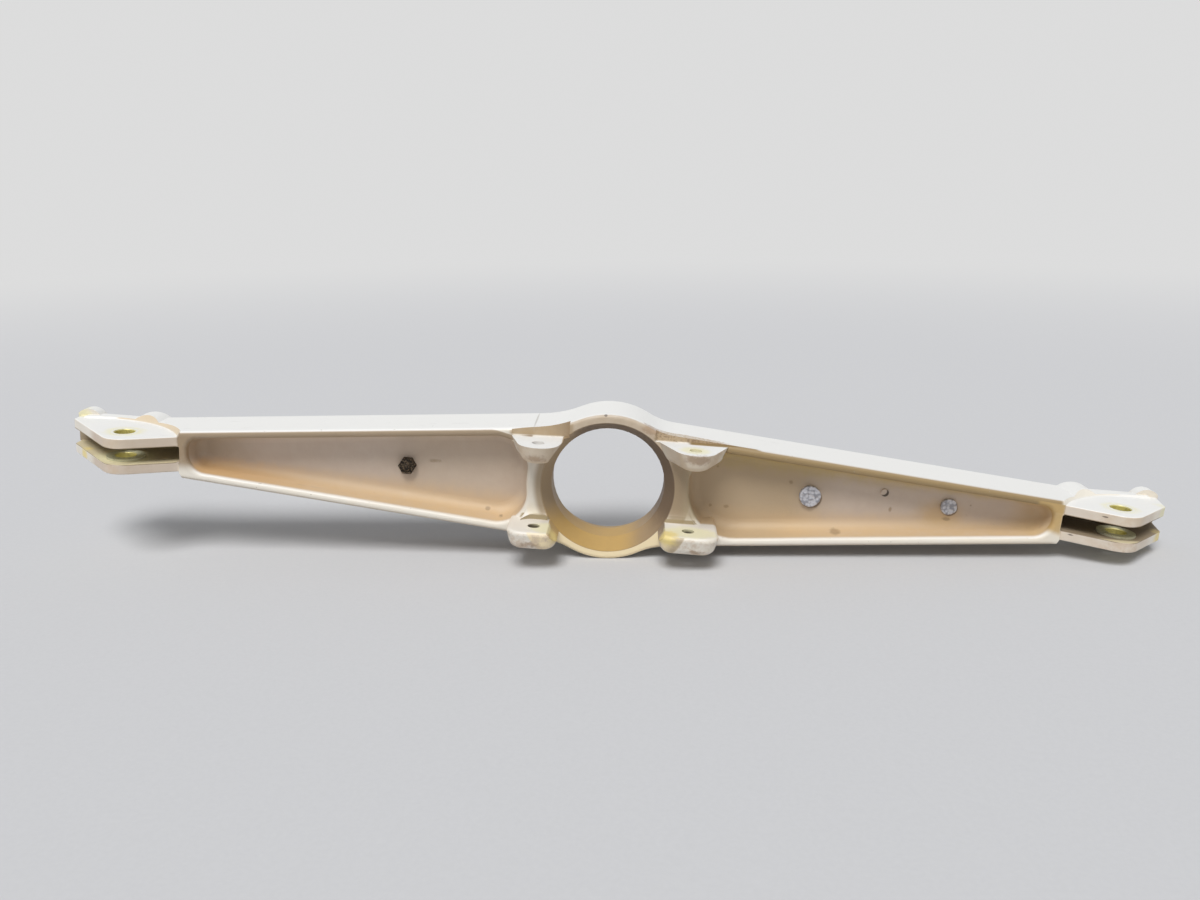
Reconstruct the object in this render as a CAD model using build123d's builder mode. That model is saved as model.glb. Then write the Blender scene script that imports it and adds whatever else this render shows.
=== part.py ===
"""Landing gear brace: a one-piece light-alloy casting that carries a strut barrel.

A ring clamps round the barrel, two tapering I-section arms reach out from it, and each
arm ends in a fork with flanged bushings. Four lugs stand forward of the ring.

Frame: millimetres. +X runs along the arms, +Y away from the lug side, +Z up.
The origin is the centre of the strut bore, midway through the casting.
"""
import os
from math import cos, radians, sin, tan

from build123d import *

# Strut ring
bore_radius = 31.75
ring_outer_radius = 41.8
ring_wall_radius = 45.0
front_flare_radius = 36.8
front_flare_depth = 9.9
back_flare_radius = 35.2
back_flare_depth = 13.1
left_hump_blend_radius = 64.0
right_hump_blend_radius = 36.0

# Arms
arm_half_depth = 18.5
flange_apex = 35.1
flange_slope = 0.09
flange_thickness = 4.5
flange_edge_radius = 2.2
web_thickness = 5.0
pocket_draft = 5.0
pocket_root_radius = 6.0
pocket_upper_corner = 7.5
pocket_lower_corner = 10.5
pocket_ring_upper_corner = 18.0
left_ring_lower_corner = 17.0
right_ring_lower_corner = 26.0
pocket_end_wall = 4.6

# Forks, each given by its bolt hole and by how far inboard or outboard of it the rest lies
left_hole_x = -271.3
left_shoulder_inboard = 31.2
left_ear_outboard = 38.3
left_ear_end_spread = 0.5
left_end_boss_outboard = 33.7
left_mound_inboard = 3.2
right_hole_x = 282.2
right_shoulder_inboard = 31.6
right_ear_outboard = 29.1
right_ear_end_spread = 4.0
right_end_boss_outboard = 26.8
right_mound_inboard = 13.6
fork_hole_y = -14.2
ear_outer_z = 10.15
ear_thickness = 5.55
ear_nose_reach = 17.0
ear_flare_angle = 28.0
ear_slant_distance = 13.9
ear_slant_angle = 45.0
ear_nose_radius = 12.0
ear_edge_radius = 0.7
slot_sweep_radius = 32.6
ear_sweep_radius = 54.0
ear_sweep_outboard = 15.5
ear_sweep_forward = 30.4
ear_sweep_lean = 45.0
slot_back_y = 12.5
rib_half_height = 11.2
mound_radius = 14.0
end_boss_height = 28.6
end_boss_width = 17.0
end_boss_flat = 6.3
boss_proud = 0.9

# Lugs round the ring
lug_hole_y = -31.1
lug_hole_radius = 3.35
upper_nose_radius = 11.4
lower_nose_reach = 12.4
lower_corner_radius = 9.5
left_lug_half_width = 15.0
right_lug_half_width = 17.2
left_lug_x = -38.6
left_lug_root = (-54.4, -24.0)
right_lug_x = 45.6
right_lug_root = (26.5, 64.0)
left_upper_flat_z = 26.3
right_upper_flat_z = 28.6
left_lower_flat_z = -20.7
right_lower_flat_z = -17.0
left_upper_lug_depth = 10.0
right_upper_lug_depth = 10.0
upper_lug_draft = 20.0
lower_lug_depth = 11.0
lower_lug_draft = 16.0
upper_underside_radius = 4.5
lower_underside_radius = 5.5
lower_rim_radius = 2.0
lower_blend_radius = 7.5
blend_start_x = 32.0
blend_overlap = 3.0
left_spotface_radius = 11.4
left_spotface_shift = 2.5
right_flat_depth = 0.8
left_step = ((-22.8, 4.1), (-54.4, 0.6))
right_step = ((24.1, 2.4), (76.0, 2.4))

# Fork bushings
bushing_bore_radius = 5.3
bushing_body_radius = 7.2
bushing_flange_radius = 10.1
bushing_flange_thickness = 1.2
bushing_lead = 0.5

# Web fasteners
web_bolt_x = -114.3
web_bolt_radius = 2.1
bolt_head_across_flats = 8.7
bolt_head_height = 3.2
bolt_end_stickout = 1.6
nut_across_flats = 8.7
nut_height = 4.3
hex_chamfer = 0.5
large_rivet_x = 114.3
large_rivet_shank_radius = 3.2
large_rivet_head_radius = 5.4
large_rivet_head_height = 2.0
small_rivet_x = 192.6
small_rivet_shank_radius = 2.4
small_rivet_head_radius = 4.2
small_rivet_head_height = 1.7
web_pin_x = 155.7
web_pin_z = 5.4
web_pin_shank_radius = 1.2
web_pin_head_radius = 2.1
web_pin_head_height = 1.0
rivet_edge_share = 0.4
rivet_dome_share = 0.8

# Sizes worked out from the ones above
ear_inner_z = ear_outer_z - ear_thickness
web_half = web_thickness / 2
pocket_depth = arm_half_depth - web_half
ear_back_y = arm_half_depth - flange_edge_radius
rib_start_x = (flange_apex - rib_half_height) / flange_slope
lug_clearance = 2 * arm_half_depth
cut_reach = 4 * arm_half_depth
match_tolerance = 0.01

front_face = Plane.XZ.offset(arm_half_depth)
back_face = Plane.XZ.offset(-arm_half_depth)


def flange_height(x):
    """Height of the flange's outer face above the arm's centreline at station x."""
    return flange_apex - flange_slope * abs(x)


def ear_plan(side, hole_x, shoulder_x, end_x, end_spread):
    """Corner points of a fork's plan: flared front edge, nose, slanted edge, end face."""
    flare, slant = radians(ear_flare_angle), radians(ear_slant_angle)
    # The front edge and the slanted edge are lines at known distances from the bolt hole
    flare_y = fork_hole_y - ear_nose_reach / cos(flare)
    slant_y = fork_hole_y - ear_slant_distance / cos(slant)
    nose = (flare_y - slant_y) / (tan(flare) + tan(slant))
    reach = side * (end_x - hole_x)
    shoulder_y = flare_y + side * (hole_x - shoulder_x) * tan(flare)
    inner_x = shoulder_x - side * pocket_end_wall / 2
    return [
        (inner_x, ear_back_y),
        (inner_x, shoulder_y),
        (shoulder_x, shoulder_y),
        (hole_x + side * nose, slant_y + nose * tan(slant)),
        (end_x, slant_y + reach * tan(slant)),
        (end_x + side * end_spread, ear_back_y),
    ]


def fork_block(side, hole_x, shoulder_x, end_x, end_spread):
    """Solid block of one fork, before its slot is milled, with its front edges rounded."""
    with BuildPart() as block:
        with BuildSketch(Plane.XY) as plan:
            with BuildLine():
                Polyline(*ear_plan(side, hole_x, shoulder_x, end_x, end_spread), close=True)
            make_face()
            fillet(plan.vertices().sort_by(Axis.Y)[0], radius=ear_nose_radius)
        extrude(amount=ear_outer_z, both=True)
        rims = block.faces().filter_by(Axis.Z).edges()
        fillet(rims.filter_by(lambda rim: rim.center().Y < slot_back_y), radius=ear_edge_radius)
    return block.part


def upper_lug(hole_x, root, flat_z, depth):
    """Lug with a milled top: a round nose that widens to its root, drawn in downwards."""
    root_start, root_end = root
    with BuildPart() as lug:
        with BuildSketch(Plane.XY.offset(flat_z)) as plan:
            with Locations((hole_x, lug_hole_y)):
                Circle(upper_nose_radius)
            with Locations(((root_start + root_end) / 2, -(web_half + arm_half_depth) / 2)):
                Rectangle(root_end - root_start, arm_half_depth - web_half)
            make_hull()
        extrude(amount=-depth, taper=upper_lug_draft)
        underside = lug.faces().sort_by(Axis.Z)[0]
        fillet(underside.edges().sort_by(Axis.Y)[:-1], radius=upper_underside_radius)
    return lug.part


def lower_lug(hole_x, half_width, flat_z):
    """Lug with a flat top, rounded corners and a soft underside."""
    front_y = lug_hole_y - lower_nose_reach
    with BuildPart() as lug:
        with BuildSketch(Plane.XY.offset(flat_z)) as plan:
            with Locations((hole_x, (front_y - web_half) / 2)):
                Rectangle(2 * half_width, -web_half - front_y)
            fillet(plan.vertices().sort_by(Axis.Y)[:2], radius=lower_corner_radius)
        extrude(amount=-lower_lug_depth, taper=lower_lug_draft)
        underside = lug.faces().sort_by(Axis.Z)[0]
        fillet(underside.edges().sort_by(Axis.Y)[:-1], radius=lower_underside_radius)
        fillet(lug.faces().sort_by(Axis.Z)[-1].edges().sort_by(Axis.Y)[:-1], radius=lower_rim_radius)
    return lug.part


def pocket_outline(side, shoulder_x, lower_corner):
    """Outline of an arm's pocket, seen from the front: it follows the flanges and the ring."""
    wall_x = shoulder_x - side * pocket_end_wall
    wall_z = flange_height(wall_x) - flange_thickness
    apex_z = flange_apex - flange_thickness
    with BuildSketch() as outline:
        with BuildLine():
            Polyline((0, apex_z), (wall_x, wall_z), (wall_x, -wall_z), (0, -apex_z), close=True)
        make_face()
        fillet(outline.vertices().sort_by_distance((wall_x, wall_z))[0], radius=pocket_upper_corner)
        fillet(outline.vertices().sort_by_distance((wall_x, -wall_z))[0], radius=pocket_lower_corner)
        Circle(ring_wall_radius, mode=Mode.SUBTRACT)
        at_ring = outline.vertices().filter_by(
            lambda v: abs(v.center().length - ring_wall_radius) < match_tolerance
        )
        fillet(at_ring.sort_by(Axis.Y)[-1], radius=pocket_ring_upper_corner)
        below = outline.vertices().filter_by(lambda v: v.Y < 0)
        fillet(below.sort_by_distance((0, -ring_wall_radius))[0], radius=lower_corner)
    return outline.sketch


def lug_blend(side, outline, end_x, root_z):
    """Concave fillet between the top of a lower lug and the arm's front face."""
    radius = lower_blend_radius
    front_y = -arm_half_depth - radius
    with BuildPart() as blend:
        with BuildSketch(Plane.YZ.offset(side * blend_start_x)) as profile:
            with Locations((front_y + (radius + blend_overlap) / 2, root_z + (radius - blend_overlap) / 2)):
                Rectangle(radius + blend_overlap, radius + blend_overlap)
            with Locations((front_y, root_z + radius)):
                Circle(radius, mode=Mode.SUBTRACT)
        extrude(amount=end_x - side * blend_start_x)
        # It ends where the rounded rim of the arm's pocket begins
        with BuildSketch(Plane.XZ) as pocket_room:
            add(outline)
            offset(amount=flange_edge_radius)
        extrude(amount=lug_clearance, mode=Mode.SUBTRACT)
    return blend.part


def step_plan(step):
    """Plan of the flat milled across an upper lug, open to the front, a step into the arm."""
    (ring_x, ring_depth), (arm_x, arm_depth) = step
    return [
        (ring_x, -cut_reach),
        (ring_x, ring_depth - arm_half_depth),
        (arm_x, arm_depth - arm_half_depth),
        (arm_x, -cut_reach),
    ]


left_end_x = left_hole_x - left_end_boss_outboard
right_end_x = right_hole_x + right_end_boss_outboard
left_shoulder_x = left_hole_x + left_shoulder_inboard
right_shoulder_x = right_hole_x - right_shoulder_inboard
fork_sides = [
    (-1, left_hole_x, left_shoulder_x, left_end_x, left_hole_x + left_mound_inboard),
    (1, right_hole_x, right_shoulder_x, right_end_x, right_hole_x - right_mound_inboard),
]
sweep_lean = radians(ear_sweep_lean)
ear_sweep_centres = [
    (left_hole_x - ear_sweep_outboard, fork_hole_y - ear_sweep_forward),
    (right_hole_x + ear_sweep_outboard, fork_hole_y - ear_sweep_forward),
]
fork_blocks = [
    fork_block(-1, left_hole_x, left_shoulder_x, left_hole_x - left_ear_outboard, left_ear_end_spread),
    fork_block(1, right_hole_x, right_shoulder_x, right_hole_x + right_ear_outboard, right_ear_end_spread),
]
lugs = [
    upper_lug(left_lug_x, left_lug_root, left_upper_flat_z, left_upper_lug_depth),
    upper_lug(right_lug_x, right_lug_root, right_upper_flat_z, right_upper_lug_depth),
    lower_lug(left_lug_x, left_lug_half_width, left_lower_flat_z),
    lower_lug(right_lug_x, right_lug_half_width, right_lower_flat_z),
]
pocket_outlines = [
    pocket_outline(-1, left_shoulder_x, left_ring_lower_corner),
    pocket_outline(1, right_shoulder_x, right_ring_lower_corner),
]
left_lower_end = left_lug_x - left_lug_half_width + lower_rim_radius
right_lower_end = right_lug_x + right_lug_half_width - lower_rim_radius
lug_blends = [
    lug_blend(-1, pocket_outlines[0], left_lower_end, left_lower_flat_z),
    lug_blend(1, pocket_outlines[1], right_lower_end, right_lower_flat_z),
]
upper_steps = [(left_upper_flat_z, step_plan(left_step)), (right_upper_flat_z, step_plan(right_step))]
lug_holes = [(left_lug_x, lug_hole_y), (right_lug_x, lug_hole_y)]

with BuildPart() as brace_casting:
    # Both arms, their end ribs and the outside of the ring, as one blank
    upper_outline = [
        (left_end_x, rib_half_height),
        (-rib_start_x, rib_half_height),
        (0, flange_apex),
        (rib_start_x, rib_half_height),
        (right_end_x, rib_half_height),
    ]
    lower_outline = [(x, -z) for x, z in reversed(upper_outline)]
    with BuildSketch(Plane.XZ) as blank:
        with BuildLine():
            Polyline(*upper_outline, *lower_outline, close=True)
        make_face()
        Circle(ring_outer_radius)
        on_ring = blank.vertices().filter_by(
            lambda v: v.X < 0 and abs(v.center().length - ring_outer_radius) < match_tolerance
        )
        fillet(on_ring, radius=left_hump_blend_radius)
        on_ring = blank.vertices().filter_by(
            lambda v: v.X > 0 and abs(v.center().length - ring_outer_radius) < match_tolerance
        )
        fillet(on_ring, radius=right_hump_blend_radius)
    extrude(amount=arm_half_depth, both=True)

    # Pockets on both faces leave the flanges, the wall of the ring and a thin web
    for face_plane, inward in ((front_face, -1), (back_face, 1)):
        for outline in pocket_outlines:
            with BuildSketch(face_plane) as pocket:
                add(outline)
            extrude(amount=inward * pocket_depth, taper=pocket_draft, mode=Mode.SUBTRACT)
    floors = brace_casting.faces().filter_by(Axis.Y).group_by(lambda f: round(abs(f.center().Y), 3))[0]
    fillet(floors.edges(), radius=pocket_root_radius)
    outer_faces = brace_casting.faces().filter_by(Axis.Y).group_by(lambda f: round(abs(f.center().Y), 3))[-1]
    fillet(outer_faces.edges(), radius=flange_edge_radius)

    # Outboard of each shoulder a wide arc leaves only the rib along the back of the blank
    with BuildSketch(Plane.XY) as rib_room:
        with Locations(*ear_sweep_centres):
            Circle(ear_sweep_radius)
    extrude(amount=arm_half_depth, both=True, mode=Mode.SUBTRACT)

    # Forks: mounds and blocks on the arm ends, swept clear round each bolt hole, then slotted
    with BuildSketch(front_face) as mounds:
        for side, hole_x, shoulder_x, end_x, mound_x in fork_sides:
            with Locations((mound_x, 0)):
                Circle(mound_radius)
    extrude(amount=-2 * arm_half_depth - boss_proud)
    add(fork_blocks)
    for up in (1, -1):
        with BuildSketch(Plane.XY.offset(up * ear_outer_z)) as ear_sweep:
            with Locations(*ear_sweep_centres):
                Circle(ear_sweep_radius)
        extrude(amount=mound_radius, dir=(0, sin(sweep_lean), up * cos(sweep_lean)), mode=Mode.SUBTRACT)
    with BuildSketch(Plane.XY) as slots:
        for side, hole_x, shoulder_x, end_x, mound_x in fork_sides:
            with Locations((hole_x, fork_hole_y)):
                Circle(slot_sweep_radius)
            with Locations((hole_x + side * cut_reach / 2, slot_back_y - cut_reach / 2)):
                Rectangle(cut_reach, cut_reach)
    extrude(amount=ear_inner_z, both=True, mode=Mode.SUBTRACT)
    with BuildSketch(Plane.XY) as bushing_seats:
        with Locations((left_hole_x, fork_hole_y), (right_hole_x, fork_hole_y)):
            Circle(bushing_body_radius)
    extrude(amount=ear_outer_z, both=True, mode=Mode.SUBTRACT)

    # A round-ended boss on the back closes each fork's end, cut flat on its outer side
    for side, hole_x, shoulder_x, end_x, mound_x in fork_sides:
        with BuildSketch(back_face.offset(-boss_proud)) as end_boss:
            with Locations((end_x, 0)):
                SlotOverall(end_boss_height, end_boss_width, rotation=90)
            with Locations((end_x + side * (end_boss_flat - end_boss_height / 2), 0)):
                Rectangle(end_boss_height, end_boss_height, mode=Mode.INTERSECT)
        extrude(amount=arm_half_depth + boss_proud - slot_back_y)

    # Lugs, the milled flats and spotfaces on them, and their bolt holes
    add(lugs)
    add(lug_blends)
    for flat_z, plan_points in upper_steps:
        with BuildSketch(Plane.XY.offset(flat_z)) as step:
            with BuildLine():
                Polyline(*plan_points, close=True)
            make_face()
        extrude(amount=ring_outer_radius, mode=Mode.SUBTRACT)
    with BuildSketch(Plane.XY.offset(left_lower_flat_z)) as spotface:
        with Locations((left_lug_x, lug_hole_y), (left_lug_x + left_spotface_shift, lug_hole_y)):
            Circle(left_spotface_radius)
    extrude(amount=2 * lower_blend_radius, mode=Mode.SUBTRACT)
    with BuildSketch(Plane.XY.offset(right_lower_flat_z)) as milled_flat:
        with Locations((right_lug_x, -arm_half_depth - right_flat_depth - cut_reach / 2)):
            Rectangle(2 * right_lug_half_width, cut_reach)
    extrude(amount=2 * lower_blend_radius, mode=Mode.SUBTRACT)
    with BuildSketch(Plane.XY) as bolt_holes:
        with Locations(*lug_holes):
            Circle(lug_hole_radius)
    extrude(amount=ring_outer_radius, both=True, mode=Mode.SUBTRACT)

    # Strut bore: a short land with a long lead-in at each end, kept clear past the lugs
    with BuildSketch(Plane.XY) as bore_profile:
        with BuildLine():
            Polyline(
                (0, -arm_half_depth - lug_clearance),
                (front_flare_radius, -arm_half_depth - lug_clearance),
                (front_flare_radius, -arm_half_depth),
                (bore_radius, front_flare_depth - arm_half_depth),
                (bore_radius, arm_half_depth - back_flare_depth),
                (back_flare_radius, arm_half_depth),
                (0, arm_half_depth),
                close=True,
            )
        make_face()
    revolve(axis=Axis.Y, mode=Mode.SUBTRACT)

    # Holes through the web for its fasteners
    with BuildSketch(Plane.XZ) as web_holes:
        with Locations((web_bolt_x, 0)):
            Circle(web_bolt_radius)
        with Locations((large_rivet_x, 0)):
            Circle(large_rivet_shank_radius)
        with Locations((small_rivet_x, 0)):
            Circle(small_rivet_shank_radius)
        with Locations((web_pin_x, web_pin_z)):
            Circle(web_pin_shank_radius)
    extrude(amount=web_thickness, both=True, mode=Mode.SUBTRACT)

brace_casting.part.label = "brace_casting"
os.makedirs("parts", exist_ok=True)
export_step(brace_casting.part, "parts/brace_casting.step")


def fork_bushing(hole_x, side_up):
    """Flanged bushing pressed into one ear from the slot side, bore along Z."""
    seat = Plane.XY.offset(side_up * ear_inner_z)
    with BuildPart() as bushing:
        with BuildSketch(seat) as body:
            with Locations((hole_x, fork_hole_y)):
                Circle(bushing_body_radius)
        extrude(amount=side_up * ear_thickness)
        with BuildSketch(seat) as flange:
            with Locations((hole_x, fork_hole_y)):
                Circle(bushing_flange_radius)
        extrude(amount=-side_up * bushing_flange_thickness)
        with BuildSketch(seat) as bore:
            with Locations((hole_x, fork_hole_y)):
                Circle(bushing_bore_radius)
        extrude(amount=ear_outer_z, both=True, mode=Mode.SUBTRACT)
        ends = bushing.faces().filter_by(Axis.Z).sort_by(Axis.Z)
        bore_rims = (ends[0].edges() + ends[-1].edges()).filter_by(
            lambda rim: rim.radius < bushing_bore_radius + bushing_lead
        )
        chamfer(bore_rims, length=bushing_lead)
    return bushing.part


def web_rivet(x, z, shank_radius, head_radius, head_height):
    """Rivet through the web: a flat shop head in front and a rounded head behind."""
    with BuildPart() as rivet:
        with BuildSketch(Plane.XZ) as shank:
            with Locations((x, z)):
                Circle(shank_radius)
        extrude(amount=web_half, both=True)
        with BuildSketch(Plane.XZ.offset(web_half)) as shop_head:
            with Locations((x, z)):
                Circle(head_radius)
        extrude(amount=head_height)
        with BuildSketch(Plane.XZ.offset(-web_half)) as back_head:
            with Locations((x, z)):
                Circle(head_radius)
        extrude(amount=-head_height)
        ends = rivet.faces().filter_by(Axis.Y).sort_by(Axis.Y)
        fillet(ends[0].edges(), radius=rivet_edge_share * head_height)
        fillet(ends[-1].edges(), radius=rivet_dome_share * head_height)
    return rivet.part


bushings = {
    "left_upper_bushing": (left_hole_x, 1),
    "left_lower_bushing": (left_hole_x, -1),
    "right_upper_bushing": (right_hole_x, 1),
    "right_lower_bushing": (right_hole_x, -1),
}
for name, (hole_x, side_up) in bushings.items():
    bushing_part = fork_bushing(hole_x, side_up)
    bushing_part.label = name
    export_step(bushing_part, f"parts/{name}.step")

rivets = {
    "large_web_rivet": (large_rivet_x, 0, large_rivet_shank_radius, large_rivet_head_radius,
                        large_rivet_head_height),
    "small_web_rivet": (small_rivet_x, 0, small_rivet_shank_radius, small_rivet_head_radius,
                        small_rivet_head_height),
    "web_pin": (web_pin_x, web_pin_z, web_pin_shank_radius, web_pin_head_radius, web_pin_head_height),
}
for name, sizes in rivets.items():
    rivet_part = web_rivet(*sizes)
    rivet_part.label = name
    export_step(rivet_part, f"parts/{name}.step")

# Bolt from the back of the web, with its nut on the lug side
with BuildPart() as web_bolt:
    with BuildSketch(Plane.XZ.offset(-web_half)) as bolt_head:
        with Locations((web_bolt_x, 0)):
            RegularPolygon(bolt_head_across_flats / 2, 6, major_radius=False)
    extrude(amount=-bolt_head_height)
    chamfer(web_bolt.faces().sort_by(Axis.Y)[-1].edges(), length=hex_chamfer)
    with BuildSketch(Plane.XZ.offset(-web_half)) as bolt_shank:
        with Locations((web_bolt_x, 0)):
            Circle(web_bolt_radius)
    extrude(amount=web_thickness + nut_height + bolt_end_stickout)
    chamfer(web_bolt.faces().sort_by(Axis.Y)[0].edges(), length=hex_chamfer)
web_bolt.part.label = "web_bolt"
export_step(web_bolt.part, "parts/web_bolt.step")

with BuildPart() as web_nut:
    with BuildSketch(Plane.XZ.offset(web_half)) as nut_outline:
        with Locations((web_bolt_x, 0)):
            RegularPolygon(nut_across_flats / 2, 6, major_radius=False)
            Circle(web_bolt_radius, mode=Mode.SUBTRACT)
    extrude(amount=nut_height)
    nut_rim = web_nut.faces().sort_by(Axis.Y)[0].outer_wire().edges()
    chamfer(nut_rim, length=hex_chamfer)
web_nut.part.label = "web_nut"
export_step(web_nut.part, "parts/web_nut.step")
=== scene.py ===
# %% [markdown]
# The brace arrives as finished solids in metres, each sitting at the origin with its place in its mesh.
# Everything in this scene is built round them: a camera, a floor, lamps, the finishes and a few small
# pieces that are easier to model here.

# %% The imported brace
from math import pi, radians

import bpy
from mathutils import Matrix, Vector


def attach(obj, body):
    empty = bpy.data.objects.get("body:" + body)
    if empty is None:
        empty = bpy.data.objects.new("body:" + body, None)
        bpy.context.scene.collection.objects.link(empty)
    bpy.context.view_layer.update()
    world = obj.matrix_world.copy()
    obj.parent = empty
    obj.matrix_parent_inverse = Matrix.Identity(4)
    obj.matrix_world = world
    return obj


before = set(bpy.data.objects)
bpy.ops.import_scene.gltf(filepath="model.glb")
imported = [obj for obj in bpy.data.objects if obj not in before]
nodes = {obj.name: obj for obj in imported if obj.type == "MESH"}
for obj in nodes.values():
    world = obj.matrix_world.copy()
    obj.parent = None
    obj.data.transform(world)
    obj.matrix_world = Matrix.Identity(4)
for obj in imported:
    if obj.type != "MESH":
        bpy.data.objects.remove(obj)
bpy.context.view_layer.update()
print("solids:", sorted(nodes))

# %% [markdown]
# The photograph looks a little down on the brace from just above the height of its bore. The brace leans
# on its lower edge, so the camera carries the lean: it is rolled about its own line of sight. The lens is
# the one that gives the bore, the forks and the lugs their sizes in the picture.

# %% Camera
camera_place = Vector((0.0036, -0.5616, 0.1695))
camera_turn = (radians(74.728), radians(-3.982), radians(2.056))
lens_mm = 30.855
sensor_mm = 36
nearest_seen = 0.01

bpy.ops.object.camera_add(location=camera_place, rotation=camera_turn)
camera = bpy.context.object
camera.data.lens = lens_mm
camera.data.sensor_width = sensor_mm
camera.data.clip_start = nearest_seen
bpy.context.scene.camera = camera
print("camera at", [round(value, 3) for value in camera_place], "with a lens of", lens_mm, "mm")

# %% [markdown]
# The brace rests on the bottom of its ring and on the end of its longer arm, so the floor is tilted to
# touch both, and turned slightly about the length of the brace.

# %% Floor
ring_bottom = 0.0418
floor_lean = radians(-4.6)
floor_pitch = radians(-0.44)
floor_size = 12.0

bpy.ops.mesh.primitive_plane_add(size=floor_size)
floor = bpy.context.object
floor.name = "floor"
floor_tilt = Matrix.Rotation(floor_lean, 4, "Y") @ Matrix.Rotation(floor_pitch, 4, "X")
floor_normal = floor_tilt.to_3x3() @ Vector((0, 0, 1))
floor.data.transform(Matrix.Translation(-ring_bottom * floor_normal) @ floor_tilt)
print("floor leans", round(floor_lean * 180 / pi, 1), "degrees along the brace")

# %% [markdown]
# The light comes from above and a little in front, as the lamp over the photographed brace does: it
# whitens the flanges' tops and the ears, leaves the webs in the shade of the upper flange, and reaches the
# lower half of each pocket. A sun lamp lights the whole length and the floor evenly, and a wide angle
# makes its shadows soft. The world fills the shade, and shows the camera a pale backdrop.

# %% Lamps
backdrop_colour = (0.72, 0.72, 0.72, 1)
fill_colour = (0.93, 0.96, 1.0, 1)
fill_strength = 0.335
sun_from = Vector((-0.20, -0.62, 1.02))
sun_strength = 2.45
sun_softness = radians(30)

world = bpy.data.worlds.new("studio")
world.use_nodes = True
world_tree = world.node_tree
fill = world_tree.nodes["Background"]
fill.inputs["Color"].default_value = fill_colour
fill.inputs["Strength"].default_value = fill_strength
backdrop = world_tree.nodes.new("ShaderNodeBackground")
backdrop.inputs["Color"].default_value = backdrop_colour
rays = world_tree.nodes.new("ShaderNodeLightPath")
seen = world_tree.nodes.new("ShaderNodeMath")
seen.operation = "MAXIMUM"
world_tree.links.new(rays.outputs["Is Camera Ray"], seen.inputs[0])
world_tree.links.new(rays.outputs["Is Glossy Ray"], seen.inputs[1])
choice = world_tree.nodes.new("ShaderNodeMixShader")
world_tree.links.new(seen.outputs[0], choice.inputs[0])
world_tree.links.new(fill.outputs[0], choice.inputs[1])
world_tree.links.new(backdrop.outputs[0], choice.inputs[2])
world_tree.links.new(choice.outputs[0], world_tree.nodes["World Output"].inputs["Surface"])
bpy.context.scene.world = world

bpy.ops.object.light_add(type="SUN", location=sun_from)
sun = bpy.context.object
sun.data.energy = sun_strength
sun.data.angle = sun_softness
sun.rotation_euler = (-sun_from).to_track_quat("-Z", "Y").to_euler()
print("sun of strength", sun_strength, "from", [round(value, 2) for value in sun_from.normalized()])

# %% [markdown]
# The finishes are worked out from place: where on the brace a point lies decides how stained, chipped or
# bare it is. That is a lot of arithmetic for shader nodes, so two small classes write it. Surface holds a
# material's nodes, and Value wraps one socket, so that an ordinary Python sum adds the Math nodes.

# %% Shader arithmetic
mm_per_m = 1000


class Value:
    """A value that varies over a surface. Python's operators add the Math nodes that work it out."""

    def __init__(self, surface, socket):
        self.surface, self.socket = surface, socket

    def maths(self, operation, first, second=0.0):
        return self.surface.node("ShaderNodeMath", {"operation": operation}, {0: first, 1: second})

    def __add__(self, other):
        return self.maths("ADD", self, other)

    def __sub__(self, other):
        return self.maths("SUBTRACT", self, other)

    def __rsub__(self, other):
        return self.maths("SUBTRACT", other, self)

    def __mul__(self, other):
        return self.maths("MULTIPLY", self, other)

    def __truediv__(self, other):
        return self.maths("DIVIDE", self, other)

    def __abs__(self):
        return self.maths("ABSOLUTE", self)

    __radd__ = __add__
    __rmul__ = __mul__

    def or_more(self, other):
        return self.maths("MAXIMUM", self, other)

    def fade(self, start, end):
        """0 at start and 1 at end, smoothly. Start may lie above end."""
        return self.surface.node("ShaderNodeMapRange", {"interpolation_type": "SMOOTHSTEP"},
                                 {"Value": self, "From Min": start, "From Max": end})

    def between(self, low, high, soft):
        """1 from low to high, and 0 beyond them, over a soft edge."""
        return self.fade(low - soft, low + soft) * self.fade(high + soft, high - soft)


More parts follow.
